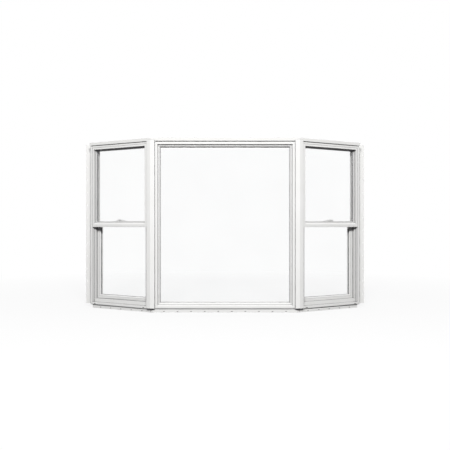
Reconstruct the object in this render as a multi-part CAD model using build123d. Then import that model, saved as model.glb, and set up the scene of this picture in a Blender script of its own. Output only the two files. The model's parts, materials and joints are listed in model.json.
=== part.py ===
from build123d import *
from math import cos, radians, sin, sqrt, tan
import os

os.makedirs("parts", exist_ok=True)

# Driving sizes, in millimetres and degrees
bay_angle = 30
centre_width = 1069
flanker_width = 572
frame_height = 1264
frame_depth = 83
corner_gap = 23.5
seat_thickness = 26
head_thickness = 21.5
jamb_thickness = 19
wall_depth = 116

# Clearances
cut_overrun = 5
fit_clearance = 0.3
slide_clearance = 2

# Flanker frame section: rounded outer edge, face, outer stop, track and raised sill
flank_round = 8
face_width = 19
stop_depth = 28.6
stop_width = 10
sill_rise = 18

# Glass units
pane_thickness = 3
sash_glass_gap = 8
centre_glass_gap = 12
glass_edge_gap = 2
spacer_edge = 2
spacer_height = 7

# Centre window: rounded outer edge, sloped inner edge, then a bead with a sloped edge
centre_round = 14
centre_face = 25
centre_slope = 7
centre_bead_front = 12
centre_glass_front = 26
centre_bead_width = 16
centre_bead_flat = 8
centre_bead_lip = 2

# Upper sash
upper_front = 2
upper_face = 15
upper_glass_front = 30
upper_bead_front = 26
upper_leg = 10
upper_back = 47
meeting_rail_height = 33
meeting_rail_drop = 16

# Lower sash
lower_front = 49
lower_face = 20
lower_leg = 11.6
lower_bead_bevel = 5
lower_bead_front = 50
lower_glass_front = 57
lower_back = 80
lower_top = 26

# Sash lock, keeper, tilt latches and lift
lock_offset = 22
lock_length = 92
lock_width = 24
lock_base_height = 4
dome_left = 44
dome_right = 11
dome_width = 18
dome_height = 16
dome_round = 3
lever_start = 8
lever_end = 50
lever_width = 11
lever_rise = 18
lever_drop = 2
lever_height = 5
keeper_length = 46
keeper_depth = 5
keeper_height = 12
keeper_foot = 18
keeper_slot_length = 26
keeper_slot_height = 5
latch_length = 42
latch_width = 15
latch_height = 5
latch_inset = 6
latch_groove = 2
lift_projection = 11
lift_height = 7
lift_rise = 9
lift_inset = 60

# Weep slots in the side frames
weep_width = 18
weep_height = 4
weep_depth = 10
weep_rise = 7
weep_inset = 46

# Meeting rail face
rail_bevel_height = 9
rail_bevel_depth = 4
rail_lip_height = 8
rail_lip_depth = 1.5

# Corner posts, covers and inside trim
cover_front = 12
cover_lap = 6.8
cover_wall = 2.5
cover_bottom_rise = 6.5
cover_top_rise = 6
trim_thickness = 4
trim_half = 18

# Head flashing
flashing_front = 8
flashing_wall = 2.5
flashing_lap = 1.5
flashing_reach = 95

# Sill fins
fin_setback = 12
fin_thickness = 3
centre_fin_overhang = 12
flanker_fin_overhang = 14
flanker_fin_stop = 15
slot_pitch = 102
slot_length = 12
slot_width = 5
fin_slot_rise = 8

# Wall flanges
flange_width = 91
flange_thickness = 3
flange_leg = 40
flange_bottom = 27
flange_top_drop = 8.5
flange_slot_edge = 11
score_place = 21
score_width = 1
score_depth = 0.8

# Derived places
bay_sin = sin(radians(bay_angle))
bay_cos = cos(radians(bay_angle))
half_tan = tan(radians(bay_angle / 2))
corner_x = centre_width / 2 + corner_gap
flanker_reach = corner_gap + flanker_width
front_y = -(flanker_reach * bay_sin + frame_depth * bay_cos)
wall_x = corner_x + flanker_reach * bay_cos - frame_depth * bay_sin
frame_bottom = seat_thickness
frame_top = frame_bottom + frame_height
board_top = frame_top + head_thickness
mid_z = frame_bottom + frame_height / 2
board_front = fin_setback + fin_thickness


def centre_point(along, depth):
    """Plan point on the centre side of the left corner: along its face from the corner line."""
    return (along - corner_x, front_y + depth)


def flanker_point(along, depth):
    """Plan point on the left flanker: along its face from the corner line, and back from it."""
    return (
        -corner_x - along * bay_cos + depth * bay_sin,
        front_y + along * bay_sin + depth * bay_cos,
    )


def corner_point(depth):
    """Plan point where the centre and left faces, set back by depth, meet."""
    return (depth * half_tan - corner_x, front_y + depth)


def mirrored(points):
    """The same plan points on the right, in the opposite order."""
    return [(-x, y) for x, y in reversed(points)]


def prism(points, bottom, top):
    """A plan outline raised from bottom to top."""
    face = make_face(Polyline(*points, close=True))
    return Pos(0, 0, bottom) * extrude(face, top - bottom, dir=(0, 0, 1))


def ring(width, height, section, rise=0, outer_round=0):
    """A mitred ring: section is (inward from the edge, back from the face), with its outer corner first."""
    half_w = width / 2
    half_h = height / 2
    path = Polyline(
        (0, 0, -half_h),
        (half_w, 0, -half_h),
        (half_w, 0, half_h),
        (-half_w, 0, half_h),
        (-half_w, 0, -half_h),
        close=True,
    )
    plane = Plane(origin=(0, 0, -half_h), x_dir=(0, 0, 1), z_dir=(-1, 0, 0))
    face = make_face(Polyline(*section, close=True))
    if outer_round:
        corner = face.vertices().sort_by_distance((0, 0))[:1]
        face = fillet(corner, outer_round)
    body = sweep(plane * face, path=path, transition=Transition.RIGHT)
    return Pos(0, 0, rise) * body


def block(width, front, back, bottom, top, across=0):
    """A rectangular block: width across, front to back in depth, bottom to top."""
    size = Box(width, back - front, top - bottom)
    return Pos(across, (front + back) / 2, (bottom + top) / 2) * size


def panes(width, height, edge, front, gap, rise=0):
    """The two panes of a sealed glass unit."""
    w = width - edge * 2
    low = rise - height / 2 + edge
    high = rise + height / 2 - edge
    outer = block(w, front, front + pane_thickness, low, high)
    back = front + pane_thickness + gap
    inner = block(w, back, back + pane_thickness, low, high)
    return Compound([outer, inner])


def spacer(width, height, edge, front, gap, depth, rise=0):
    """The bar between the panes."""
    a = edge + spacer_edge
    d = front + pane_thickness
    return ring(width, height, [(a, d), (depth, d), (depth, d + gap), (a, d + gap)], rise)


# Placing: window pieces are drawn with the face at zero depth and centred in width and height
centre_place = Pos(0, front_y, mid_z)
flank_x, flank_y = flanker_point(corner_gap + flanker_width / 2, 0)
left_place = Pos(flank_x, flank_y, mid_z) * Rot(0, 0, -bay_angle)


def save(shape, name):
    """Write one node."""
    export_step(shape, f"parts/{name}.step")


def save_pair(shape, name):
    """Write a left node and its mirror image on the right."""
    save(shape, f"left_{name}")
    save(mirror(shape, about=Plane.YZ), f"right_{name}")


# Seat board
left_front = corner_point(board_front)
end_along = (wall_x - corner_x + board_front * bay_sin) / bay_cos
left_end = flanker_point(end_along, board_front)
left_plan = [(-wall_x, wall_depth), left_end, left_front]
board_plan = left_plan + mirrored(left_plan)
save(prism(board_plan, 0, seat_thickness), "seat_board")

# Jamb boards at the wall
jamb_plan = [
    (-wall_x, 0),
    (-wall_x, wall_depth),
    (-wall_x - jamb_thickness, wall_depth),
    (-wall_x - jamb_thickness, 0),
]
save_pair(prism(jamb_plan, 0, board_top), "jamb_board")

# Corner posts
post_plan = [
    centre_point(corner_gap, 0),
    corner_point(0),
    flanker_point(corner_gap, 0),
    flanker_point(corner_gap, frame_depth),
    corner_point(frame_depth),
    centre_point(corner_gap, frame_depth),
]
save_pair(prism(post_plan, frame_bottom, frame_top), "mull_post")

# Folded covers over the posts, with their legs down to the rounded edges of the frames
cover_half = corner_gap + cover_lap


def cover_seat(outer_round):
    """How far back a cover's leg reaches to the rounded edge of the frame under it."""
    short = max(0, outer_round - cover_lap)
    return outer_round - sqrt(outer_round**2 - short**2) - fit_clearance


centre_seat = cover_seat(centre_round)
flank_seat = cover_seat(flank_round)
inner_half = cover_half - cover_wall
inner_front = cover_wall - cover_front
cover_plan = [
    centre_point(cover_half, centre_seat),
    centre_point(cover_half, -cover_front),
    corner_point(-cover_front),
    flanker_point(cover_half, -cover_front),
    flanker_point(cover_half, flank_seat),
    flanker_point(inner_half, flank_seat),
    flanker_point(inner_half, inner_front),
    corner_point(inner_front),
    centre_point(inner_half, inner_front),
    centre_point(inner_half, centre_seat),
]
cover_top = frame_top + cover_top_rise
lip_bottom = frame_top - flashing_lap
return_top = lip_bottom - fit_clearance
cover = prism(cover_plan, frame_bottom + cover_bottom_rise, cover_top)
wide_half = cover_half + cut_overrun
return_plan = [
    centre_point(wide_half, cut_overrun),
    centre_point(wide_half, inner_front),
    corner_point(inner_front),
    flanker_point(wide_half, inner_front),
    flanker_point(wide_half, cut_overrun),
]
cover -= prism(return_plan, return_top, cover_top + cut_overrun)
save_pair(cover, "post_cover")

# Inside trim over the gap behind each post
trim_back = frame_depth + trim_thickness
trim_along = frame_depth * half_tan + trim_half
trim_plan = [
    centre_point(trim_along, frame_depth),
    corner_point(frame_depth),
    flanker_point(trim_along, frame_depth),
    flanker_point(trim_along, trim_back),
    corner_point(trim_back),
    centre_point(trim_along, trim_back),
]
save_pair(prism(trim_plan, frame_bottom, frame_top), "post_trim")

# Head flashing
front = -flashing_front
lip_back = flashing_wall - flashing_front
leg_bottom = board_top - flashing_wall


def band(front, back):
    """Plan of a strip along all three faces, between two set-backs."""
    outer = [flanker_point(flanker_reach, front), corner_point(front)]
    inner = [flanker_point(flanker_reach, back), corner_point(back)]
    return outer + mirrored(outer) + list(reversed(inner + mirrored(inner)))


lip = prism(band(front, lip_back), lip_bottom, board_top)
leg = prism(band(front, flashing_reach), leg_bottom, board_top)
save(lip + leg, "head_flashing")

# Head board, with the flashing let into its top
head_board = prism(board_plan, frame_top, board_top)
head_board -= prism(band(front, flashing_reach), leg_bottom, board_top + cut_overrun)
save(head_board, "head_board")


def slots(length, across, height):
    """A row of nail slots at the standard pitch in a strip of this length, as cutters along X."""
    count = int(length // slot_pitch)
    cutter = Rot(90, 0, 0) * extrude(SlotOverall(slot_length, slot_width), cut_overrun, both=True)
    first = across - slot_pitch * (count - 1) / 2
    return [Pos(first + slot_pitch * i, 0, height) * cutter for i in range(count)]


# Sill fins with their nail slots
centre_fin_length = centre_width + centre_fin_overhang * 2
centre_fin = block(centre_fin_length, fin_setback, board_front, 0, seat_thickness)
for cutter in slots(centre_fin_length, 0, fin_slot_rise):
    centre_fin -= Pos(0, fin_setback, 0) * cutter
save(Pos(0, front_y, 0) * centre_fin, "centre_sill_fin")

fin_length = flanker_width + flanker_fin_overhang - flanker_fin_stop
fin_shift = (flanker_fin_overhang + flanker_fin_stop) / 2
flank_fin = block(fin_length, fin_setback, board_front, 0, seat_thickness, fin_shift)
for cutter in slots(fin_length, fin_shift, fin_slot_rise):
    flank_fin -= Pos(0, fin_setback, 0) * cutter
save_pair(Pos(flank_x, flank_y, 0) * Rot(0, 0, -bay_angle) * flank_fin, "sill_fin")

# Wall flanges with their nail slots
leg_n = flange_thickness
bend = flange_thickness * (1 + bay_sin) / bay_cos
flange_plan = [
    (-wall_x, 0),
    (-wall_x - flange_width, 0),
    (-wall_x - flange_width, -flange_thickness),
    (-wall_x - bend, -flange_thickness),
    flanker_point(flanker_reach + leg_n, frame_depth - flange_leg),
    flanker_point(flanker_reach, frame_depth - flange_leg),
]
flange_top = board_top - flange_top_drop
flange = prism(flange_plan, flange_bottom, flange_top)
score_plan = [
    (-wall_x - score_place, cut_overrun),
    (-wall_x - score_place, -score_depth),
    (-wall_x - score_place - score_width, -score_depth),
    (-wall_x - score_place - score_width, cut_overrun),
]
flange -= prism(score_plan, flange_bottom - cut_overrun, flange_top + cut_overrun)
slot_x = flange_slot_edge - flange_width - wall_x
flange_mid = (flange_bottom + flange_top) / 2
for cutter in slots(flange_top - flange_bottom, 0, 0):
    flange -= Pos(slot_x, 0, flange_mid) * Rot(0, 90, 0) * cutter
save_pair(flange, "wall_flange")

# Centre window: frame, bead, glass and spacer
centre_back = centre_glass_front + pane_thickness * 2 + centre_glass_gap
bead_outer = centre_face + centre_slope
bead_inner = bead_outer + centre_bead_width
centre_leg = bead_outer + centre_bead_flat
centre_section = [
    (0, 0),
    (centre_face, 0),
    (bead_outer, centre_bead_front),
    (bead_outer, centre_back),
    (centre_leg, centre_back),
    (centre_leg, frame_depth),
    (0, frame_depth),
]
centre_frame = ring(centre_width, frame_height, centre_section, outer_round=centre_round)
save(centre_place * centre_frame, "centre_frame")

bead_section = [
    (bead_outer, centre_bead_front),
    (bead_outer + centre_bead_flat, centre_bead_front),
    (bead_inner, centre_glass_front - centre_bead_lip),
    (bead_inner, centre_glass_front),
    (bead_outer, centre_glass_front),
]
save(centre_place * ring(centre_width, frame_height, bead_section), "centre_bead")

centre_edge = bead_outer + glass_edge_gap
centre_unit = (centre_width, frame_height, centre_edge, centre_glass_front, centre_glass_gap)
save(centre_place * panes(*centre_unit), "centre_glass")
centre_spacer_depth = centre_edge + spacer_edge + spacer_height
save(centre_place * spacer(*centre_unit, centre_spacer_depth), "centre_spacer")

# Flanker frame
track = face_width + stop_width
flank_section = [
    (0, 0),
    (face_width, 0),
    (face_width, stop_depth),
    (track, stop_depth),
    (track, frame_depth),
    (0, frame_depth),
]
flank_frame = ring(flanker_width, frame_height, flank_section, outer_round=flank_round)
sill_z = -frame_height / 2
sill_top = sill_z + track + sill_rise
flank_frame += block(flanker_width - track * 2, stop_depth, frame_depth, sill_z + track, sill_top)
weep_x = flanker_width / 2 - weep_inset
weep_low = sill_z + weep_rise
for across in (-weep_x, weep_x):
    flank_frame -= block(weep_width, -cut_overrun, weep_depth, weep_low, weep_low + weep_height, across)
save_pair(left_place * flank_frame, "frame")

# Upper sash, fixed in the outer track
upper_edge = face_width + fit_clearance
upper_width = flanker_width - upper_edge * 2
upper_top = frame_height / 2 - upper_edge
rail_rise = meeting_rail_height - upper_face
upper_bottom = rail_rise - meeting_rail_drop
upper_height = upper_top - upper_bottom
upper_mid = (upper_top + upper_bottom) / 2
upper_glass_back = upper_glass_front + pane_thickness * 2 + sash_glass_gap
stop_back = stop_depth - fit_clearance
upper_in = upper_face + upper_leg
upper_section = [
    (0, upper_front),
    (upper_face, upper_front),
    (upper_face, upper_glass_back),
    (upper_in, upper_glass_back),
    (upper_in, upper_back),
    (stop_width, upper_back),
    (stop_width, stop_back),
    (0, stop_back),
]
upper = ring(upper_width, upper_height, upper_section, upper_mid)
rail_low = -meeting_rail_drop
upper += block(upper_width, upper_front, stop_back, rail_low, upper_bottom)
inner_width = upper_width - stop_width * 2
upper += block(inner_width, stop_back, upper_back, rail_low, upper_bottom + stop_width)
rail_top = meeting_rail_height - meeting_rail_drop
bevel = make_face(
    Polyline(
        (upper_front, rail_top - rail_bevel_height),
        (upper_front + rail_bevel_depth, rail_top),
        (upper_front, rail_top),
        close=True,
    )
)
bevel_width = upper_width - upper_face * 2
upper -= Pos(-bevel_width / 2, 0, 0) * extrude(Plane.YZ * bevel, bevel_width)
lip_back = upper_front + rail_lip_depth
lip_top = rail_low + rail_lip_height
upper -= block(bevel_width, upper_front - cut_overrun, lip_back, rail_low - cut_overrun, lip_top)
save_pair(left_place * upper, "upper_sash")

upper_bead_section = [
    (upper_face, upper_bead_front),
    (upper_in, upper_bead_front),
    (upper_in, upper_glass_front),
    (upper_face, upper_glass_front),
]
upper_bead = ring(upper_width, upper_height, upper_bead_section, upper_mid)
save_pair(left_place * upper_bead, "upper_bead")

upper_glass_edge = upper_face + glass_edge_gap
upper_unit = (upper_width, upper_height, upper_glass_edge, upper_glass_front, sash_glass_gap)
save_pair(left_place * panes(*upper_unit, upper_mid), "upper_glass")
upper_spacer_depth = upper_glass_edge + spacer_edge + spacer_height
save_pair(left_place * spacer(*upper_unit, upper_spacer_depth, upper_mid), "upper_spacer")

# Lower sash, in the inner track
lower_width = flanker_width - (track + slide_clearance) * 2
lower_bottom = sill_top
lower_height = lower_top - lower_bottom
lower_mid = (lower_top + lower_bottom) / 2
lower_glass_back = lower_glass_front + pane_thickness * 2 + sash_glass_gap
lower_in = lower_face + lower_leg
lower_section = [
    (0, lower_front),
    (lower_face, lower_front),
    (lower_face, lower_glass_back),
    (lower_in, lower_glass_back),
    (lower_in, lower_back),
    (0, lower_back),
]
lower = ring(lower_width, lower_height, lower_section, lower_mid)
lift_low = lower_bottom + lift_rise
lift_width = lower_width - lift_inset * 2
lower += block(lift_width, lower_back, lower_back + lift_projection, lift_low, lift_low + lift_height)
save_pair(left_place * lower, "lower_sash")

lower_bead_section = [
    (lower_face, lower_bead_front),
    (lower_in - lower_bead_bevel, lower_bead_front),
    (lower_in, lower_bead_front + lower_bead_bevel),
    (lower_in, lower_glass_front),
    (lower_face, lower_glass_front),
]
lower_bead = ring(lower_width, lower_height, lower_bead_section, lower_mid)
save_pair(left_place * lower_bead, "lower_bead")

lower_edge = lower_face + glass_edge_gap
lower_unit = (lower_width, lower_height, lower_edge, lower_glass_front, sash_glass_gap)
save_pair(left_place * panes(*lower_unit, lower_mid), "lower_glass")
lower_spacer_depth = lower_edge + spacer_edge + spacer_height
save_pair(left_place * spacer(*lower_unit, lower_spacer_depth, lower_mid), "lower_spacer")

# Cam lock on the lower sash and keeper on the upper sash
keeper_back = upper_back + keeper_depth
lock_mid = keeper_back + fit_clearance + lock_width / 2
base_top = lower_top + lock_base_height
lock = Pos(0, lock_mid, lower_top) * extrude(SlotOverall(lock_length, lock_width), lock_base_height)
dome_top = base_top + dome_height
dome_mid = (dome_right - dome_left) / 2
dome_arc = ThreePointArc((-dome_left, base_top), (dome_mid, dome_top), (dome_right, base_top))
dome_face = make_face([dome_arc, Line((dome_right, base_top), (-dome_left, base_top))])
dome = extrude(Plane.XZ * dome_face, dome_width / 2, both=True)
crown = dome.edges().filter_by(GeomType.CIRCLE)
dome = fillet(crown, dome_round)
lock += Pos(0, lock_mid, 0) * dome
lever_low = base_top + lever_drop
lever_high = lower_top + lever_rise
lever_face = make_face(
    Polyline(
        (-lever_start, lever_high - lever_height),
        (-lever_start, lever_high),
        (lever_end, lever_low),
        (lever_end, lever_low - lever_height),
        close=True,
    )
)
lock += Pos(0, lock_mid, 0) * extrude(Plane.XZ * lever_face, lever_width / 2, both=True)
lock_place = left_place * Pos(-lock_offset, 0, 0)
save_pair(lock_place * lock, "sash_lock")

keeper_low = lower_top + fit_clearance
keeper_high = keeper_low + keeper_height
keeper = block(keeper_length, upper_back, keeper_back, keeper_low, keeper_high)
slot_mid = (keeper_low + keeper_high) / 2
slot_low = slot_mid - keeper_slot_height / 2
slot_high = slot_mid + keeper_slot_height / 2
keeper -= block(keeper_slot_length, upper_back, keeper_back + cut_overrun, slot_low, slot_high)
foot_back = lower_front - fit_clearance
keeper += block(keeper_length, upper_back, foot_back, keeper_low - keeper_foot, keeper_low)
save_pair(lock_place * keeper, "lock_keeper")

# Tilt latches at the ends of the lower sash's top rail
latch_x = lower_width / 2 - latch_inset - latch_length / 2
latch_mid = (lower_front + lower_back) / 2
latch_top = lower_top + latch_height
latches = []
for across in (-latch_x, latch_x):
    latch = Pos(across, latch_mid, lower_top) * extrude(SlotOverall(latch_length, latch_width), latch_height)
    groove = Pos(across, latch_mid, latch_top) * Rot(90, 0, 0) * Cylinder(latch_groove, latch_width * 2)
    latches.append((latch - groove).solid())
save_pair(left_place * Compound(latches), "tilt_latches")
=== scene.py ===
# %% [markdown]
# A white bay window, finished in Blender
#
# The part is a vinyl bay window: a fixed picture window in the middle, a single-hung window set back at
# thirty degrees on each side, folded covers over the two corner posts, and boards above and below. Its
# pieces come in as solids of the right size and place, so nothing here moves or resizes them. This
# lesson gives them softened edges, real finishes, and the small things that a maker adds last.

# %% Load the solids
import json
from math import radians

import bmesh
import bpy
from mathutils import Matrix, Vector


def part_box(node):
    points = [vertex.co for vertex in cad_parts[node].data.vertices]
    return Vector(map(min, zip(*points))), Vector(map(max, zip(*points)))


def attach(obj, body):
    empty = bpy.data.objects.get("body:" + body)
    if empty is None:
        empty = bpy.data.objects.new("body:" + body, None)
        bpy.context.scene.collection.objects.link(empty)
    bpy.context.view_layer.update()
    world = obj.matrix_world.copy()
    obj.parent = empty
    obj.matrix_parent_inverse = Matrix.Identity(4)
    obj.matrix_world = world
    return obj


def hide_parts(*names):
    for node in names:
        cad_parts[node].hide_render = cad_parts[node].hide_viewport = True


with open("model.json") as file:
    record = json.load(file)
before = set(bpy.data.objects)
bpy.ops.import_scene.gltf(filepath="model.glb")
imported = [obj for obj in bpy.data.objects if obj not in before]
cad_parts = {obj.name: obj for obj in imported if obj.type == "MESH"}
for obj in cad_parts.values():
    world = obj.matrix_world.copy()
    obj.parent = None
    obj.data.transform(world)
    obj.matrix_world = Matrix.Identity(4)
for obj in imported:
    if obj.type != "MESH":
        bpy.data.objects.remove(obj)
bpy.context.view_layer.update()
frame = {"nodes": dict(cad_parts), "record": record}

nodes = frame["nodes"]
scene = bpy.context.scene
mm = 0.001


def shown(point):
    """A point's numbers, rounded for a print."""
    return [round(number, 3) for number in point]


# %% [markdown]
# Where each window stands
#
# The side windows are turned, so a box along the world's axes says little about them. Each window gets
# a place of its own instead: a matrix whose origin is the middle of the window's outer face, with X
# along the face, Y into the room and Z up. It is measured on the frame's own corners, so it follows the
# solids.

# %% Measure the three windows
bay_angle = radians(30)


def extent(points):
    """The lowest and the highest corner of the box round some points."""
    low = Vector([min(p[i] for p in points) for i in range(3)])
    high = Vector([max(p[i] for p in points) for i in range(3)])
    return low, high


def measure_window(node, angle):
    """The place, half width, half height and depth of a window, from the corners of its frame."""
    turn = Matrix.Rotation(angle, 4, "Z")
    low, high = extent([turn.inverted() @ v.co for v in nodes[node].data.vertices])
    middle = Vector(((low.x + high.x) / 2, low.y, (low.z + high.z) / 2))
    size = high - low
    return {
        "place": turn @ Matrix.Translation(middle),
        "half_width": size.x / 2,
        "half_height": size.z / 2,
        "depth": size.y,
    }


windows = {
    "left": measure_window("left_frame", -bay_angle),
    "centre": measure_window("centre_frame", 0),
    "right": measure_window("right_frame", bay_angle),
}
for name, window in windows.items():
    print(name, "window:", round(window["half_width"] * 2, 3), "by", round(window["half_height"] * 2, 3))

# %% [markdown]
# The camera
#
# The photograph is taken square on, level with the middle of the frames. The way the side windows'
# lines close in says how far away the camera is, and the window's width in the picture then gives the
# lens.

# %% Place the camera
camera_distance = 4.706
camera_lens = 50.2
camera_sensor = 36
centre_face = windows["centre"]["place"].translation

camera_data = bpy.data.cameras.new("camera")
camera_data.lens = camera_lens
camera_data.sensor_width = camera_sensor
camera = bpy.data.objects.new("camera", camera_data)
camera.location = centre_face - Vector((0, camera_distance, 0))
camera.rotation_euler = (radians(90), 0, 0)
scene.collection.objects.link(camera)
scene.camera = camera
print("camera at", shown(camera.location))

# %% [markdown]
# Two kinds of ray
#
# The background is plain white, and so is what shows in the glass. A world as bright as that on all
# sides would wash out every edge, so the rays that light the window have to meet something softer. A
# Light Path node tells the two kinds apart: a ray that has already bounced off a matt surface is
# lighting something, even if it goes through a pane afterwards.

# %% Tell the rays apart
half_bounce = 0.5


def calculate(tree, operation, first, second):
    """A Math node on two values, each a number or a socket."""
    node = tree.nodes.new("ShaderNodeMath")
    node.operation = operation
    for socket, value in zip(node.inputs, (first, second)):
        if isinstance(value, (int, float)):
            socket.default_value = value
        else:
            tree.links.new(value, socket)
    return node.outputs["Value"]


def looked_at(tree):
    """One for a ray that comes straight from the eye, by reflection or through glass too, else zero."""
    path = tree.nodes.new("ShaderNodeLightPath").outputs
    mirrored = calculate(tree, "MAXIMUM", path["Is Glossy Ray"], path["Is Transmission Ray"])
    direct = calculate(tree, "MAXIMUM", path["Is Camera Ray"], mirrored)
    unbounced = calculate(tree, "LESS_THAN", path["Diffuse Depth"], half_bounce)
    return calculate(tree, "MULTIPLY", direct, unbounced)


print("rays that look and rays that light are told apart")

# %% [markdown]
# The world
#
# The sky that lights the window is bright overhead, dim at the horizon and dimmer below, so that what
# faces down stays dark. The height of a ray's direction drives a colour ramp, and a Mix Shader puts
# plain white in the sky's place for the rays that look.

# %% Light the world
sky_overhead = 0.6
sky_horizon = 0.12
sky_below = 0.02
sky_tint = (0.97, 0.965, 1.0)
below_horizon = 0.46
above_horizon = 0.54

scene.view_settings.view_transform = "Standard"
world = bpy.data.worlds.new("studio")
scene.world = world
world.use_nodes = True
tree = world.node_tree
tree.nodes.clear()


def level(strength):
    """A sky colour of this brightness."""
    return (sky_tint[0] * strength, sky_tint[1] * strength, sky_tint[2] * strength, 1)


direction = tree.nodes.new("ShaderNodeTexCoord")
split = tree.nodes.new("ShaderNodeSeparateXYZ")
height = tree.nodes.new("ShaderNodeMapRange")
height.inputs["From Min"].default_value = -1
ramp = tree.nodes.new("ShaderNodeValToRGB")
ramp.color_ramp.elements[0].position = below_horizon
ramp.color_ramp.elements[0].color = level(sky_below)
ramp.color_ramp.elements[1].position = 1
ramp.color_ramp.elements[1].color = level(sky_overhead)
ramp.color_ramp.elements.new(above_horizon).color = level(sky_horizon)
sky = tree.nodes.new("ShaderNodeBackground")
white = tree.nodes.new("ShaderNodeBackground")
white.inputs["Color"].default_value = (1, 1, 1, 1)
choose = tree.nodes.new("ShaderNodeMixShader")
output = tree.nodes.new("ShaderNodeOutputWorld")
tree.links.new(direction.outputs["Generated"], split.inputs["Vector"])
tree.links.new(split.outputs["Z"], height.inputs["Value"])
tree.links.new(height.outputs["Result"], ramp.inputs["Fac"])
tree.links.new(ramp.outputs["Color"], sky.inputs["Color"])
tree.links.new(looked_at(tree), choose.inputs["Fac"])
tree.links.new(sky.outputs["Background"], choose.inputs[1])
tree.links.new(white.outputs["Background"], choose.inputs[2])
tree.links.new(choose.outputs["Shader"], output.inputs["Surface"])
print("world: white to look at, a soft sky to be lit by")

# %% [markdown]
# The lamps
#
# Two soft lamps stand high in front, one a little to each side, so both flanks are lit alike. Together
# they draw the thin shadow lines that are all that shows the depth of a white window on white: under
# the head of each frame, down its sides, and behind its outer edges. The panes would throw a mirror
# image of each lamp into the reveals and wash those lines out, so the lamps show neither in reflections
# nor through glass.

# %% Hang the lamps
lamp_power = 338
lamp_size = 1
lamp_distance = 8
lamp_aside = radians(9)
lamp_up = radians(31)
lamp_tint = (1.0, 0.997, 0.988)


def hang_lamp(name, power, width, depth, place, target):
    """A flat lamp that looks at a point and shows neither in reflections nor through glass."""
    data = bpy.data.lights.new(name, "AREA")
    data.energy = power
    data.shape = "RECTANGLE"
    data.size = width
    data.size_y = depth
    data.color = lamp_tint
    lamp = bpy.data.objects.new(name, data)
    lamp.location = place
    lamp.rotation_euler = (target - place).to_track_quat("-Z", "Y").to_euler()
    lamp.visible_glossy = False
    lamp.visible_transmission = False
    scene.collection.objects.link(lamp)
    return lamp


for side, turn in (("left", -lamp_aside), ("right", lamp_aside)):
    aim = Matrix.Rotation(turn, 4, "Z") @ Matrix.Rotation(-lamp_up, 4, "X")
    place = centre_face + aim @ Vector((0, -lamp_distance, 0))
    lamp = hang_lamp(f"{side}_lamp", lamp_power, lamp_size, lamp_size, place, centre_face)
    print(side, "lamp at", shown(lamp.location))

# %% [markdown]
# The light in the room
#
# The room side needs some light of its own, so a weak lamp stands well back in the room. Seen through
# the panes, the head board would still be a grey slit, so a narrow lamp lies on the seat, out of sight,
# and shines up at it.

# %% Hang the room lamps
room_power = 64
room_size = 2
room_back = 2.4
room_height = 0.9
seat_power = 30
seat_rise = 20 * mm
seat_lamp_depth = 0.3

room_place = Vector((0, room_back, room_height))
room_target = Vector((0, 0, centre_face.z))
room_lamp = hang_lamp("room_lamp", room_power, room_size, room_size, room_place, room_target)
seat_low, seat_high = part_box("seat_board")
seat_width = windows["centre"]["half_width"] * 2
seat_place = Vector((0, (seat_low[1] + seat_high[1]) / 2, seat_high[2] + seat_rise))
seat_target = seat_place + Vector((0, 0, 1))
seat_lamp = hang_lamp("seat_lamp", seat_power, seat_width, seat_lamp_depth, seat_place, seat_target)
seat_lamp.visible_camera = False
print("room lamps at", shown(room_place), "and", shown(seat_place))

# %% [markdown]
# The floor
#
# The window stands on a plain pale floor, a wide disc. The room lamp would leave a bright edge across it,
# seen through the panes, so light linking keeps that lamp off the floor.

# %% Lay the floor
floor_radius = 30
floor_segments = 64
floor_drop = 0.2 * mm

bm = bmesh.new()
bmesh.ops.create_circle(bm, cap_ends=True, segments=floor_segments, radius=floor_radius)
bmesh.ops.translate(bm, verts=bm.verts, vec=(0, 0, -floor_drop))
floor_mesh = bpy.data.meshes.new("floor")
bm.to_mesh(floor_mesh)
bm.free()
floor = bpy.data.objects.new("floor", floor_mesh)
scene.collection.objects.link(floor)
floor.visible_shadow = False
unlit_from_room = bpy.data.collections.new("not lit from the room")
unlit_from_room.objects.link(floor)
unlit_from_room.collection_objects[0].light_linking.link_state = "EXCLUDE"
room_lamp.light_linking.receiver_collection = unlit_from_room
print("floor laid, radius", floor_radius, "m")

# %% [markdown]
# The floor's paint
#
# Seen by the camera the floor is nearly all white light, with a little of its lit surface mixed in near
# the window, so it blends into the background and still keeps the soft shadow. A pale floor would also
# throw light up under every edge, so the rays that light the window meet it in dark grey.

# %% Paint the floor
floor_pale = (0.85, 0.85, 0.85, 1)
floor_grey = (0.08, 0.08, 0.085, 1)
shadow_share = 0.13
shadow_near = 1.6
shadow_reach = 4

floor_paint = bpy.data.materials.new("floor_paint")
floor_paint.use_nodes = True
tree = floor_paint.node_tree
tree.nodes.clear()
place = tree.nodes.new("ShaderNodeTexCoord")
away = tree.nodes.new("ShaderNodeVectorMath")
away.operation = "LENGTH"
fade = tree.nodes.new("ShaderNodeMapRange")
fade.inputs["From Min"].default_value = shadow_near
fade.inputs["From Max"].default_value = shadow_reach
fade.inputs["To Min"].default_value = 1 - shadow_share
fade.inputs["To Max"].default_value = 1
looked_at_floor = looked_at(tree)
shade = tree.nodes.new("ShaderNodeMix")
shade.data_type = "RGBA"
shade.inputs["A"].default_value = floor_grey
shade.inputs["B"].default_value = floor_pale
paint = tree.nodes.new("ShaderNodeBsdfDiffuse")
glow = tree.nodes.new("ShaderNodeEmission")
choose = tree.nodes.new("ShaderNodeMixShader")
output = tree.nodes.new("ShaderNodeOutputMaterial")
tree.links.new(place.outputs["Object"], away.inputs[0])
tree.links.new(away.outputs["Value"], fade.inputs["Value"])
tree.links.new(calculate(tree, "MULTIPLY", looked_at_floor, fade.outputs["Result"]), choose.inputs["Fac"])
tree.links.new(looked_at_floor, shade.inputs["Factor"])
tree.links.new(shade.outputs["Result"], paint.inputs["Color"])
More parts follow.
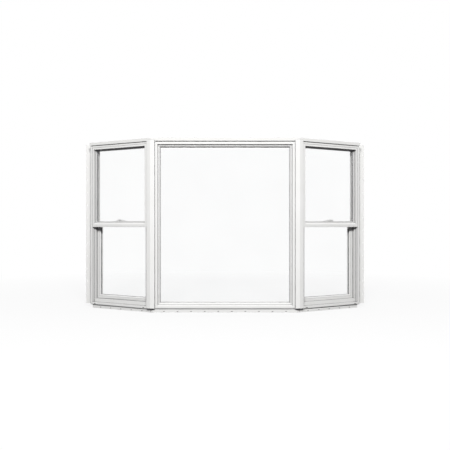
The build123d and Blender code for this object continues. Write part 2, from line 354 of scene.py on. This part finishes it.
tree.links.new(paint.outputs["BSDF"], choose.inputs[1])
tree.links.new(glow.outputs["Emission"], choose.inputs[2])
tree.links.new(choose.outputs["Shader"], output.inputs["Surface"])
floor.data.materials.append(floor_paint)
print("floor painted, with a shadow out to", shadow_reach, "m")

# %% [markdown]
# Noise for the finishes
#
# White vinyl is never one flat white. An extrusion has a fine matt grain, its gloss wanders a little,
# and dust and handling leave faint clouds on it. Noise in the object's own metres can drive all three:
# a ramp makes it a colour, a Map Range node makes it a roughness, and a Bump node makes it a very
# shallow relief. Noise seldom leaves the middle of its range, so the ramps run over that middle part
# only.

# %% Helpers for noise
noise_detail = 3
noise_low = 0.3
noise_high = 0.7
relief_strength = 0.5


def start_finish(name):
    """A new material with its shader and object coordinates."""
    material = bpy.data.materials.new(name)
    material.use_nodes = True
    tree = material.node_tree
    place = tree.nodes.new("ShaderNodeTexCoord")
    return material, tree, tree.nodes["Principled BSDF"], place.outputs["Object"]


def clouds(tree, place, scale, stretch=(1, 1, 1)):
    """Noise at this many features a metre, pulled out along an axis by a small stretch."""
    mapping = tree.nodes.new("ShaderNodeMapping")
    mapping.inputs["Scale"].default_value = stretch
    texture = tree.nodes.new("ShaderNodeTexNoise")
    texture.inputs["Scale"].default_value = scale
    texture.inputs["Detail"].default_value = noise_detail
    tree.links.new(place, mapping.inputs["Vector"])
    tree.links.new(mapping.outputs["Vector"], texture.inputs["Vector"])
    return texture.outputs["Fac"]


def colours(tree, value, low, high):
    """A ramp between two colours."""
    ramp = tree.nodes.new("ShaderNodeValToRGB")
    ramp.color_ramp.elements[0].position = noise_low
    ramp.color_ramp.elements[0].color = (*low, 1)
    ramp.color_ramp.elements[1].position = noise_high
    ramp.color_ramp.elements[1].color = (*high, 1)
    tree.links.new(value, ramp.inputs["Fac"])
    return ramp.outputs["Color"]


def between(tree, value, low, high):
    """A number that wanders between two values."""
    change = tree.nodes.new("ShaderNodeMapRange")
    change.inputs["From Min"].default_value = noise_low
    change.inputs["From Max"].default_value = noise_high
    change.inputs["To Min"].default_value = low
    change.inputs["To Max"].default_value = high
    tree.links.new(value, change.inputs["Value"])
    return change.outputs["Result"]


def bump(tree, shader, value, depth):
    """A shallow relief, with its depth in metres."""
    relief = tree.nodes.new("ShaderNodeBump")
    relief.inputs["Distance"].default_value = depth
    relief.inputs["Strength"].default_value = relief_strength
    tree.links.new(value, relief.inputs["Height"])
    tree.links.new(relief.outputs["Normal"], shader.inputs["Normal"])


print("noise helpers ready")

# %% [markdown]
# Painted shade in the corners
#
# The colour of each finish is darkened in inner corners. This is painted shade, and it draws a fine
# dark line along every step of a frame. An Ambient Occlusion node finds those corners: it says how open
# the space in front of each point is. White surfaces that face each other also light each other up until
# no line is left, so each finish is made darker for the rays that bounce, and keeps its colour for the
# rays that look.

# %% Helpers for painted corner shade
# Painted shade: these values set how far out of a corner, and how dark, the painted shade reaches.
painted_shade_reach = 5 * mm
painted_shade_colour = (0.12, 0.118, 0.13)
painted_shade_samples = 8
full_painted_shade = 0.5
no_painted_shade = 0.9
bounce_loss = 0.9


def mix_colours(tree, share, first, second):
    """A Mix node from the first colour to the second, each three numbers or a socket."""
    mix = tree.nodes.new("ShaderNodeMix")
    mix.data_type = "RGBA"
    tree.links.new(share, mix.inputs["Factor"])
    for name, colour in (("A", first), ("B", second)):
        if isinstance(colour, tuple):
            mix.inputs[name].default_value = (*colour, 1)
        else:
            tree.links.new(colour, mix.inputs[name])
    return mix.outputs["Result"]


def paint_corner_shade(tree, colour):
    """The colour, darkened in inner corners by painted shade."""
    corner = tree.nodes.new("ShaderNodeAmbientOcclusion")
    corner.inputs["Distance"].default_value = painted_shade_reach
    corner.samples = painted_shade_samples
    open_share = tree.nodes.new("ShaderNodeMapRange")
    open_share.interpolation_type = "SMOOTHSTEP"
    open_share.inputs["From Min"].default_value = full_painted_shade
    open_share.inputs["From Max"].default_value = no_painted_shade
    tree.links.new(corner.outputs["AO"], open_share.inputs["Value"])
    return mix_colours(tree, open_share.outputs["Result"], painted_shade_colour, colour)


def less_bounce(tree, colour):
    """The colour, darkened for light that bounces from one surface to the next."""
    bounced = tree.nodes.new("ShaderNodeLightPath").outputs["Is Diffuse Ray"]
    return mix_colours(tree, calculate(tree, "MULTIPLY", bounced, bounce_loss), colour, (0, 0, 0))


# The reach printed below is that of the painted shade in the corners.
print("dust reaches", painted_shade_reach / mm, "mm out of a corner")

# %% [markdown]
# The satin finishes
#
# Vinyl, paint, primer, rubber and zinc differ in colour, gloss and grain, but they are built alike, so
# one function makes them all from a row of values: a darker and a lighter colour, the range of the
# roughness, the grain's features a metre, and its depth. The boards' grain is pulled out along X, as
# brushed primer on wood is.

# %% Make the satin finishes
cloud_scale = 7
gloss_scale = 45
satin_specular = 0.3
even_grain = (1, 1, 1)
wood_grain = (0.05, 1, 1)


def satin_finish(name, low, high, gloss, grain, grain_depth, stretch):
    """A moulded or painted finish: clouded colour, wandering gloss and a fine grain."""
    material, tree, shader, place = start_finish(name)
    clouded = colours(tree, clouds(tree, place, cloud_scale), low, high)
    # Painted shade: the clouded colour is darkened in inner corners.
    with_corner_shade = paint_corner_shade(tree, clouded)
    tree.links.new(less_bounce(tree, with_corner_shade), shader.inputs["Base Color"])
    tree.links.new(between(tree, clouds(tree, place, gloss_scale), *gloss), shader.inputs["Roughness"])
    shader.inputs["Specular IOR Level"].default_value = satin_specular
    bump(tree, shader, clouds(tree, place, grain, stretch), grain_depth)
    return material


satin_rows = {
    "white_vinyl": ((0.845, 0.845, 0.83), (0.875, 0.875, 0.865), (0.45, 0.58), 900, 0.02 * mm),
    "white_flashing": ((0.8, 0.8, 0.785), (0.84, 0.84, 0.825), (0.4, 0.5), 500, 0.03 * mm),
    "primed_board": ((0.84, 0.835, 0.82), (0.88, 0.875, 0.86), (0.55, 0.7), 220, 0.25 * mm),
    "lock_white": ((0.76, 0.76, 0.75), (0.8, 0.8, 0.79), (0.3, 0.4), 1200, 0.02 * mm),
    "spacer_bar": ((0.42, 0.42, 0.43), (0.5, 0.5, 0.51), (0.35, 0.5), 700, 0.02 * mm),
    "grey_seal": ((0.2, 0.2, 0.21), (0.28, 0.28, 0.29), (0.6, 0.8), 1500, 0.05 * mm),
    "zinc_screw": ((0.5, 0.5, 0.5), (0.64, 0.64, 0.62), (0.25, 0.4), 900, 0.01 * mm),
}
finishes = {}
for name, row in satin_rows.items():
    stretch = wood_grain if name == "primed_board" else even_grain
    finishes[name] = satin_finish(name, *row, stretch)
finishes["zinc_screw"].node_tree.nodes["Principled BSDF"].inputs["Metallic"].default_value = 1
print("satin finishes:", ", ".join(finishes))

# %% [markdown]
# The glass
#
# Float glass is clear, with the faintest tint that shows mostly at its edge. The Principled shader's
# transmission bends and reflects as glass does, and very faint clouds keep its colour from being dead
# even.

# %% Make the glass
glass_index = 1.5
glass_cloud_scale = 3
glass_darker = (0.978, 0.98, 0.98)
glass_lighter = (0.988, 0.99, 0.99)

finishes["clear_glass"], tree, shader, place = start_finish("clear_glass")
shader.inputs["Transmission Weight"].default_value = 1
shader.inputs["Roughness"].default_value = 0
shader.inputs["IOR"].default_value = glass_index
glass_tint = colours(tree, clouds(tree, place, glass_cloud_scale), glass_darker, glass_lighter)
tree.links.new(glass_tint, shader.inputs["Base Color"])
print("glass made, index", glass_index)

# %% [markdown]
# Softened edges
#
# A solid from a CAD model has edges of no width at all, and no real edge is like that: an extrusion's
# corners have a radius of about a millimetre, and that thin round is what catches the light. Each solid
# is copied, its loose triangles are joined and merged into whole faces, and a Bevel modifier rounds
# what is sharp. The copy stands for the solid. The glass stays as it is, because its cut edges are
# hidden, and it casts no shadow, because a clear pane hardly does.

# %% Helpers for pieces
rounding_segments = 2
sharp_angle = radians(40)
flat_angle = radians(1)
merge_distance = 0.01 * mm
edge_radius = {
    "white_vinyl": 0.9 * mm,
    "white_flashing": 0.6 * mm,
    "primed_board": 1.5 * mm,
    "lock_white": 0.7 * mm,
    "spacer_bar": 0.5 * mm,
}


def add_piece(bm, name, slot, softness):
    """A bmesh made a piece that rides on the window, with its finish and with its sharp edges rounded."""
    mesh = bpy.data.meshes.new(name)
    bm.to_mesh(mesh)
    bm.free()
    mesh.materials.append(finishes[slot])
    piece = bpy.data.objects.new(name, mesh)
    scene.collection.objects.link(piece)
    if softness:
        rounding = piece.modifiers.new("rounding", "BEVEL")
        rounding.width = softness
        rounding.segments = rounding_segments
        rounding.limit_method = "ANGLE"
        rounding.angle_limit = sharp_angle
    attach(piece, "root")
    return piece


def soften(node, slot):
    """A copy of a solid with rounded edges, which stands for it."""
    bm = bmesh.new()
    bm.from_mesh(nodes[node].data)
    bmesh.ops.remove_doubles(bm, verts=bm.verts, dist=merge_distance)
    bmesh.ops.dissolve_limit(bm, angle_limit=flat_angle, verts=bm.verts, edges=bm.edges)
    piece = add_piece(bm, f"{node}_soft", slot, edge_radius[slot])
    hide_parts(node)
    return piece


print("radii for", len(edge_radius), "finishes")

# %% [markdown]
# Every solid gets its finish
#
# The record says which finish each solid has. A solid whose finish has an edge radius is softened, and
# the panes get their glass. Once the head board's copy is there, light linking lets the lamp on the
# seat light that board and nothing else.

# %% Soften the solids
softened = {}
for row in frame["record"]["subparts"]:
    node = row["node"]
    slot = row["material_slot"]
    if slot in edge_radius:
        softened[node] = soften(node, slot)
    else:
        nodes[node].data.materials.clear()
        nodes[node].data.materials.append(finishes[slot])
        nodes[node].visible_shadow = False
lit_from_seat = bpy.data.collections.new("lit from the seat")
lit_from_seat.objects.link(softened["head_board"])
seat_lamp.light_linking.receiver_collection = lit_from_seat
print("softened:", len(softened), "of", len(nodes))

# %% [markdown]
# Small pieces
#
# What is left is small: seals, strips, seams and screws. They are drawn in a window's own axes, where
# every part of it is straight, and set in place at the end by the window's matrix. Two shapes make most
# of them. A ring is a face with its middle inset and taken out, pulled back to a depth. A strip is an
# outline of a few points, pulled along a run.

# %% Helpers for small pieces


def new_verts(result):
    """The vertices that an extrude has made."""
    return [part for part in result["geom"] if isinstance(part, bmesh.types.BMVert)]


def add_ring(bm, half_width, half_height, rise, width, front, back):
    """A rectangular ring, with its outer half sizes, its width inwards, and its front and back."""
    sheet = bmesh.ops.create_grid(bm, x_segments=1, y_segments=1, size=1)["verts"]
    stand = Matrix.Translation((0, front, rise)) @ Matrix.Rotation(radians(90), 4, "X")
    bmesh.ops.transform(bm, matrix=stand @ Matrix.Diagonal((half_width, half_height, 1, 1)), verts=sheet)
    middle = sheet[0].link_faces[0]
    inset = bmesh.ops.inset_region(
        bm, faces=[middle], thickness=width, use_boundary=True, use_even_offset=True
    )
    border = inset["faces"]
    bmesh.ops.delete(bm, geom=[middle], context="FACES")
    pulled = new_verts(bmesh.ops.extrude_face_region(bm, geom=border))
    bmesh.ops.translate(bm, vec=(0, back - front, 0), verts=pulled)


def add_strip(bm, outline, run):
    """An outline of a few points, pulled along a run."""
    face = bm.faces.new([bm.verts.new(point) for point in outline])
    pulled = new_verts(bmesh.ops.extrude_face_region(bm, geom=[face]))
    bmesh.ops.translate(bm, vec=run, verts=pulled)


def finish_piece(bm, name, slot, place, softness=0):
    """Set a bmesh in place as a piece of the window, with its faces turned outwards."""
    bmesh.ops.transform(bm, matrix=place, verts=bm.verts)
    bmesh.ops.recalc_face_normals(bm, faces=bm.faces)
    add_piece(bm, name, slot, softness)


print("helpers ready: ring, strip and finish")

# %% [markdown]
# Measuring in a window's axes
#
# Each small piece is measured on the solids that it touches, so it stays seated when a size changes.
# The two helpers below bring a solid's corners into a window's axes, and read the clear opening of a
# solid that is a ring.

# %% Helpers for measuring


def local_points(node, window):
    """A solid's corners in a window's own axes."""
    turn_back = window["place"].inverted()
    return [turn_back @ v.co for v in nodes[node].data.vertices]


def opening(node, window):
    """The clear opening of a ring-shaped solid: half width, half height and middle height."""
    points = local_points(node, window)
    low, high = extent(points)
    middle = (low.z + high.z) / 2
    half_width = min(abs(p.x) for p in points)
    half_height = min(abs(p.z - middle) for p in points)
    return half_width, half_height, middle


print("centre bead's opening, half sizes and middle:", shown(opening("centre_bead", windows["centre"])))

# %% [markdown]
# Glazing seals
#
# Each sealed unit sits between a bead outside and a lip inside, on soft seals, grey outside and white
# inside. All that shows of a seal is a thin line along the edge of the glass. It is a ring that just
# fills the last two millimetres of the opening and lies on the pane, so it is measured on the bead or
# lip and on the glass.

# %% Run the glazing seals
seal_width = 2 * mm
seal_height = 1.6 * mm
seal_softness = 0.5 * mm
glass_units = {
    "centre": "centre",
    "left_upper": "left",
    "left_lower": "left",
    "right_upper": "right",
    "right_lower": "right",
}
for unit, side in glass_units.items():
    window = windows[side]
    bead = f"{unit}_bead"
    inner_lip = "centre_frame" if unit == "centre" else bead
    pane_low, pane_high = extent(local_points(f"{unit}_glass", window))
    lips = {
        "outer": (bead, pane_low.y - seal_height, "grey_seal"),
        "inner": (inner_lip, pane_high.y, "white_vinyl"),
    }
    for label, (lip, front, slot) in lips.items():
        half_width, half_height, rise = opening(lip, window)
        bm = bmesh.new()
        add_ring(bm, half_width, half_height, rise, seal_width, front, front + seal_height)
        finish_piece(bm, f"{unit}_{label}_seal", slot, window["place"], seal_softness)
print("seals:", 2 * len(glass_units))

# %% [markdown]
# The bead's joint
#
# The bead of the picture window snaps in against the frame, and a thin grey lip of soft plastic closes
# the joint between them. It is one more ring, along the outer edge of the bead, standing a little proud
# of it.

# %% Close the bead's joint
joint_width = 1.4 * mm
joint_proud = 0.3 * mm
joint_depth = 0.5 * mm

bead_low, bead_high = extent(local_points("centre_bead", windows["centre"]))
joint_front = bead_low.y - joint_proud
joint_back = bead_low.y + joint_depth
bm = bmesh.new()
add_ring(bm, bead_high.x, bead_high.z, 0, joint_width, joint_front, joint_back)
finish_piece(bm, "centre_bead_joint", "grey_seal", windows["centre"]["place"])
print("bead joint:", round(bead_high.x * 2, 3), "by", round(bead_high.z * 2, 3))

# %% [markdown]
# Pile strips
#
# A sash slides on brushes, not on plastic: a narrow strip of grey pile runs up each stile of the lower
# sash and along the meeting rails, and fills the two millimetre gap. Its section is a flat backing with
# a thicker tuft in the middle, so it is drawn as an outline of eight points and pulled along the gap.
# The gaps themselves are measured on the frame and on the sashes.

# %% Run the pile strips
backing_half = 3.4 * mm
backing_thickness = 0.7 * mm
tuft_half = 2.1 * mm
tuft_share = 0.97
pile_depth = 6 * mm
pile_rise = 9 * mm
room_face_share = 0.9


def track_points(side):
    """The corners on the room face of a side frame, where the lower sash has its tracks."""
    window = windows[side]
    points = local_points(f"{side}_frame", window)
    return [p for p in points if p.y > window["depth"] * room_face_share]


def pile_outline(gap):
    """The section of a pile strip that fills a gap: across it, and along the face that it lies on."""
    thick = gap * tuft_share
    return [
        (0, -backing_half),
        (backing_thickness, -backing_half),
        (backing_thickness, -tuft_half),
        (thick, -tuft_half),
        (thick, tuft_half),
        (backing_thickness, tuft_half),
        (backing_thickness, backing_half),
        (0, backing_half),
    ]


for side in ("left", "right"):
    window = windows[side]
    sash_low, sash_high = extent(local_points(f"{side}_lower_sash", window))
    upper_low, upper_high = extent(local_points(f"{side}_upper_sash", window))
    side_gap = min(abs(p.x) for p in track_points(side)) - sash_high.x
    rail_gap = sash_low.y - upper_high.y
    bm = bmesh.new()
    stile_depth = sash_low.y + pile_depth
    section = pile_outline(side_gap)
    for facing in (-1, 1):
        outline = [(facing * (sash_high.x + x), stile_depth + y, sash_low.z) for x, y in section]
        add_strip(bm, outline, (0, 0, sash_high.z - sash_low.z))
    rise = upper_low.z + pile_rise
    outline = [(-sash_high.x, sash_low.y - x, rise + y) for x, y in pile_outline(rail_gap)]
    add_strip(bm, outline, (sash_high.x * 2, 0, 0))
    finish_piece(bm, f"{side}_pile_strips", "grey_seal", window["place"])
    print(side, "pile: gaps of", round(side_gap / mm, 2), "and", round(rail_gap / mm, 2), "mm")

# %% [markdown]
# Balance covers
#
# A spring balance in each jamb carries the lower sash. Above the sash its channel is closed by a
# snapped-in cover with a slot for the balance shoe. That section never changes along its length, so it
# is one outline of eight points, pulled from just above the sash up to the head.

# %% Fit the balance covers
cover_thickness = 5 * mm
slot_depth = 3.5 * mm
cover_width = 26 * mm
slot_width = 9 * mm
cover_gap = 14 * mm
cover_softness = 0.6 * mm

cover_section = [
    (0, -cover_width / 2),
    (cover_thickness, -cover_width / 2),
    (cover_thickness, -slot_width / 2),
    (cover_thickness - slot_depth, -slot_width / 2),
    (cover_thickness - slot_depth, slot_width / 2),
    (cover_thickness, slot_width / 2),
    (cover_thickness, cover_width / 2),
    (0, cover_width / 2),
]
for side in ("left", "right"):
    window = windows[side]
    track = track_points(side)
    wall = min(abs(p.x) for p in track)
    track_top = min(p.z for p in track if p.z > 0)
    sash_low, sash_high = extent(local_points(f"{side}_lower_sash", window))
    start = sash_high.z + cover_gap
    middle = (sash_low.y + window["depth"]) / 2
    bm = bmesh.new()
    for facing in (-1, 1):
        outline = [(facing * (wall - x), middle + y, start) for x, y in cover_section]
        add_strip(bm, outline, (0, 0, track_top - start))
    finish_piece(bm, f"{side}_balance_covers", "white_vinyl", window["place"], cover_softness)
    print(side, "balance covers:", round((track_top - start) / mm), "mm long")

# %% [markdown]
# Weld seams
#
# The corners of vinyl frames are cut at forty-five degrees and melted together. After the bead of
# melted plastic is scraped off, a fine seam still crosses each corner. Here it is a very flat rod: a
# cone with equal ends, squeezed to a third of its depth and laid along the mitre, half sunk in the
# face.

# %% Helpers for weld seams
seam_radius = 0.6 * mm
seam_flatness = 0.35
seam_segments = 8


def add_seam(bm, start, stop):
    """A flattened rod between two points of one face."""
    line = stop - start
    rod = bmesh.ops.create_cone(
        bm,
        cap_ends=True,
        segments=seam_segments,
        radius1=seam_radius,
        radius2=seam_radius,
        depth=line.length,
    )["verts"]
    turn = line.to_track_quat("Z", "Y").to_matrix().to_4x4()
    squeeze = Matrix.Diagonal((1, seam_flatness, 1, 1))
    squeezed = Matrix.Translation((start + stop) / 2) @ squeeze @ turn
    bmesh.ops.transform(bm, matrix=squeezed, verts=rod)


def add_corner_seams(bm, node, window, at_back, first, last):
    """Seams across the four corners of a ring, on its front or its back, from first to last inwards."""
    low, high = extent(local_points(node, window))
    depth = high.y if at_back else low.y
    for x, inward_x in ((low.x, 1), (high.x, -1)):
        for z, inward_z in ((low.z, 1), (high.z, -1)):
            inward = Vector((inward_x, 0, inward_z))
            corner = Vector((x, depth, z))
            add_seam(bm, corner + inward * first, corner + inward * last)


print("seams are", seam_radius * 2 / mm, "mm wide")

# %% [markdown]
# Where the seams run
#
# A seam crosses only the flat of a face. On the frames' fronts it starts where the rounded outer edge
# ends, and on their backs and on the sashes it starts just inside the edge.

# %% Lay the weld seams
centre_round = 14 * mm
centre_flat = 25 * mm
centre_leg = 40 * mm
flank_round = 8 * mm
flank_flat = 19 * mm
flank_track = 29 * mm
sash_face = 20 * mm
seam_end = 0.5 * mm

seams = {
    "centre": [
        ("centre_frame", False, centre_round, centre_flat),
        ("centre_frame", True, seam_end, centre_leg),
    ],
}
for side in ("left", "right"):
    seams[side] = [
        (f"{side}_frame", False, flank_round, flank_flat),
        (f"{side}_frame", True, seam_end, flank_track),
        (f"{side}_lower_sash", False, seam_end, sash_face),
    ]
for side, rows in seams.items():
    bm = bmesh.new()
    for node, at_back, first, last in rows:
        add_corner_seams(bm, node, windows[side], at_back, first, last)
    finish_piece(bm, f"{side}_weld_seams", "white_vinyl", windows[side]["place"])
print("weld seams on", len(seams), "windows")

# %% [markdown]
# A screw
#
# The keeper of each lock is held by two small pan-head screws with a cross recess. The recess starts as
# a grid of five by five cells, and the five cells in the shape of a plus are pushed down. Bridging the
# grid's edge to a circle with as many points makes the round head, and two more pulls give it its side.

# %% Shape a screw
head_radius = 2.1 * mm
head_height = 1.2 * mm
crown_share = 0.86
crown_drop = head_height * 0.2
side_drop = head_height * 0.4
recess_half = 1.25 * mm
recess_depth = 0.6 * mm
grid_cells = 5
plus_reach = recess_half * 2 / grid_cells * 1.2


def add_screw(bm, seat):
    """A pan-head screw that stands up on this point."""
    head = bmesh.new()
    bmesh.ops.create_grid(head, x_segments=grid_cells, y_segments=grid_cells, size=recess_half)
    plus = [f for f in head.faces if f.calc_center_median().length < plus_reach]
    edge = [e for e in head.edges if e.is_boundary]
    pushed = new_verts(bmesh.ops.extrude_face_region(head, geom=plus))
    bmesh.ops.delete(head, geom=plus, context="FACES_ONLY")
    bmesh.ops.translate(head, vec=(0, 0, -recess_depth), verts=pushed)
    crown_radius = head_radius * crown_share
    ring = bmesh.ops.create_circle(head, segments=grid_cells * 4, radius=crown_radius)["verts"]
    turn = Matrix.Translation((0, 0, -crown_drop)) @ Matrix.Rotation(radians(45), 4, "Z")
    bmesh.ops.transform(head, matrix=turn, verts=ring)
    rim = [e for e in head.edges if e.verts[0] in ring and e.verts[1] in ring]
    bmesh.ops.bridge_loops(head, edges=edge + rim)
    for spread in (1 / crown_share, 1):
        pulled = bmesh.ops.extrude_edge_only(head, edges=rim)
        rim = [part for part in pulled["geom"] if isinstance(part, bmesh.types.BMEdge)]
        low = new_verts(pulled)
        bmesh.ops.scale(head, vec=(spread, spread, 1), verts=low)
        bmesh.ops.translate(head, vec=(0, 0, -side_drop), verts=low)
    bmesh.ops.edgeloop_fill(head, edges=rim)
    bmesh.ops.translate(head, vec=seat + Vector((0, 0, head_height)), verts=head.verts)
    copy = bpy.data.meshes.new("screw")
    head.to_mesh(copy)
    head.free()
    bm.from_mesh(copy)
    bpy.data.meshes.remove(copy)


print("screw heads:", head_radius * 2 / mm, "mm across")

# %% [markdown]
# The keepers' screws
#
# The screws stand on the top of each keeper, near its two ends. The keeper's own corners say where that
# is.

# %% Drive the screws
screw_inset = 5 * mm

for side in ("left", "right"):
    window = windows[side]
    keeper_low, keeper_high = extent(local_points(f"{side}_lock_keeper", window))
    middle = (keeper_low.y + keeper_high.y) / 2
    bm = bmesh.new()
    for along in (keeper_low.x + screw_inset, keeper_high.x - screw_inset):
        add_screw(bm, Vector((along, middle, keeper_high.z)))
    finish_piece(bm, f"{side}_keeper_screws", "zinc_screw", window["place"])
    print(side, "keeper screwed down")

# %% [markdown]
# Flashing nails
#
# The head flashing is nailed down through its leg, along the back edge, with broad flat heads. Each
# head is a low cone whose top is a little narrower than its foot, and the Bevel modifier rounds its
# rim. The nails follow each window's own axes, so the rows turn with the faces.

# %% Nail the flashing
nail_radius = 5 * mm
nail_crown = 4.4 * mm
nail_height = 1.2 * mm
nail_segments = 16
nail_pitch = 200 * mm
nail_softness = 0.3 * mm
nail_depth = 80 * mm

flashing_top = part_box("head_flashing")[1][2]
bm = bmesh.new()
nail_count = 0
for window in windows.values():
    count = int(window["half_width"] * 2 / nail_pitch)
    for i in range(count):
        along = nail_pitch * (i - (count - 1) / 2)
        spot = window["place"] @ Vector((along, nail_depth, 0))
        spot.z = flashing_top + nail_height / 2
        bmesh.ops.create_cone(
            bm,
            cap_ends=True,
            segments=nail_segments,
            radius1=nail_radius,
            radius2=nail_crown,
            depth=nail_height,
            matrix=Matrix.Translation(spot),
        )
    nail_count += count
finish_piece(bm, "flashing_nails", "zinc_screw", Matrix.Identity(4), nail_softness)
print("flashing nails:", nail_count)
